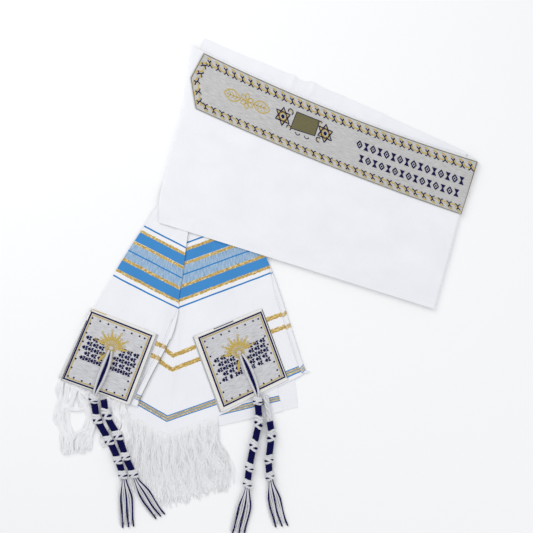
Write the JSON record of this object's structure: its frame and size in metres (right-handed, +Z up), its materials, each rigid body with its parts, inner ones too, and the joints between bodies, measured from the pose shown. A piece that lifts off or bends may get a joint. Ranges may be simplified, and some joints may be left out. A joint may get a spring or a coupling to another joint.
{
  "type": "folded prayer shawl",
  "caption": "Fringed prayer shawl with neckband, corner patches and knotted tassels, folded and laid flat.",
  "frame": {"origin": "on the table, under the middle of the folded body", "axes": "+Z up from the table, +X to the picture's right, +Y to the picture's top, away from the fringe"},
  "size_m": [0.6119, 0.722, 0.0151],
  "materials": {
    "cloth": "matt white weave with blue, pale blue and gold stripes across the ends",
    "hidden_cloth": "matt white weave, the layers inside the fold",
    "silver_weave": "silver-grey woven band with a low sheen",
    "tassel_thread": "soft spun cord, navy and white",
    "fringe_thread": "soft white thread"
  },
  "bodies": {
    "root": {"shawl_body": "cloth", "folded_layers": "hidden_cloth", "rear_layer": "cloth", "right_end_under": "cloth", "right_end": "cloth", "left_end_under": "cloth", "left_end": "cloth", "neckband": "silver_weave", "patch_left_under": "silver_weave", "patch_left": "silver_weave", "patch_right": "silver_weave", "hem_left": "cloth", "hem_right": "cloth", "fringe_left": "fringe_thread", "fringe_right": "fringe_thread", "tassel_left_upper": "tassel_thread", "tassel_left_lower": "tassel_thread", "tassel_right_upper": "tassel_thread", "tassel_right_lower": "tassel_thread"}
  },
  "joints": []
}
